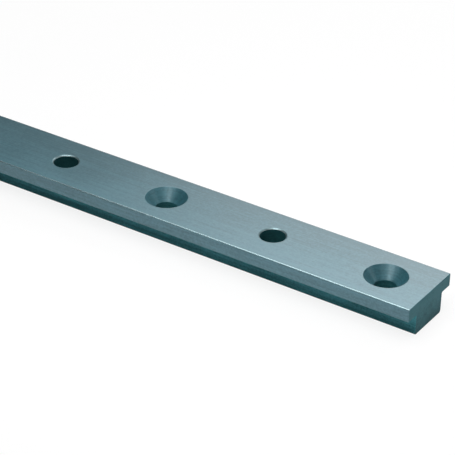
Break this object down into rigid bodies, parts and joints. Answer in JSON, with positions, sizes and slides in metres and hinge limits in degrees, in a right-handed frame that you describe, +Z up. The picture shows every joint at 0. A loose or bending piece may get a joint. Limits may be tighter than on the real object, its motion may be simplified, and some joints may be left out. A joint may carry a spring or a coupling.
{
  "type": "t-track",
  "caption": "Length of T-section aluminium sailing track with countersunk fastening holes and plain stop holes by turns along its centre line.",
  "frame": {"origin": "middle of the flat base, at half the length and half the width", "axes": "+X along the track towards the end where the row of holes starts, +Z up from the deck, Y across the flange"},
  "size_m": [0.6096, 0.0318, 0.0143],
  "materials": {
    "anodised_aluminium": "satin blue-grey hard anodising"
  },
  "bodies": {
    "root": {"track_rail": "anodised_aluminium"}
  },
  "joints": []
}
